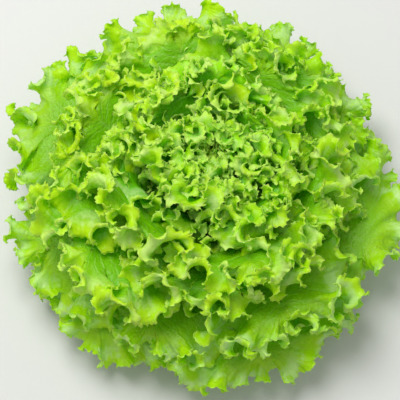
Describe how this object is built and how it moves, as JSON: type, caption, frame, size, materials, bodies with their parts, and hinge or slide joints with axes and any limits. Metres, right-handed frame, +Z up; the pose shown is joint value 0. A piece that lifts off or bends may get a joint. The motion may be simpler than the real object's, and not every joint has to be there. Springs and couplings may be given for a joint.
{
  "type": "batavia lettuce",
  "caption": "Loose frilled head of green batavia lettuce, cut at the stem: broad wavy outer leaves around curled upright heart leaves, spiralled round a short tapered stem.",
  "frame": {"origin": "centre of the stem's flat cut face, which rests on the surface", "axes": "+Z up along the stem to the heart; -Y is the side nearest a viewer who stands at the front and looks down"},
  "size_m": [0.323, 0.3396, 0.1444],
  "materials": {
    "stem": "moist pale stem",
    "outer_leaf": "waxy satin leaf",
    "middle_leaf": "waxy satin leaf",
    "inner_leaf": "waxy satin leaf",
    "heart_leaf": "waxy satin leaf"
  },
  "bodies": {
    "root": {"stem": "stem", "outer_leaf_01": "outer_leaf", "outer_leaf_02": "outer_leaf", "outer_leaf_03": "outer_leaf", "outer_leaf_04": "outer_leaf", "outer_leaf_05": "outer_leaf", "outer_leaf_06": "outer_leaf", "outer_leaf_07": "outer_leaf", "outer_leaf_08": "outer_leaf", "outer_leaf_09": "outer_leaf", "outer_leaf_10": "outer_leaf", "outer_leaf_11": "outer_leaf", "outer_leaf_12": "outer_leaf", "outer_leaf_13": "outer_leaf", "outer_leaf_14": "outer_leaf", "middle_leaf_01": "middle_leaf", "middle_leaf_02": "middle_leaf", "middle_leaf_03": "middle_leaf", "middle_leaf_04": "middle_leaf", "middle_leaf_05": "middle_leaf", "middle_leaf_06": "middle_leaf", "middle_leaf_07": "middle_leaf", "middle_leaf_08": "middle_leaf", "middle_leaf_09": "middle_leaf", "middle_leaf_10": "middle_leaf", "middle_leaf_11": "middle_leaf", "middle_leaf_12": "middle_leaf", "middle_leaf_13": "middle_leaf", "middle_leaf_14": "middle_leaf", "middle_leaf_15": "middle_leaf", "middle_leaf_16": "middle_leaf", "inner_leaf_01": "inner_leaf", "inner_leaf_02": "inner_leaf", "inner_leaf_03": "inner_leaf", "inner_leaf_04": "inner_leaf", "inner_leaf_05": "inner_leaf", "inner_leaf_06": "inner_leaf", "inner_leaf_07": "inner_leaf", "inner_leaf_08": "inner_leaf", "inner_leaf_09": "inner_leaf", "inner_leaf_10": "inner_leaf", "inner_leaf_11": "inner_leaf", "inner_leaf_12": "inner_leaf", "inner_leaf_13": "inner_leaf", "inner_leaf_14": "inner_leaf", "inner_leaf_15": "inner_leaf", "heart_leaf_01": "heart_leaf", "heart_leaf_02": "heart_leaf", "heart_leaf_03": "heart_leaf", "heart_leaf_04": "heart_leaf", "heart_leaf_05": "heart_leaf", "heart_leaf_06": "heart_leaf", "heart_leaf_07": "heart_leaf", "heart_leaf_08": "heart_leaf", "heart_leaf_09": "heart_leaf", "heart_leaf_10": "heart_leaf", "heart_leaf_11": "heart_leaf"}
  },
  "joints": []
}
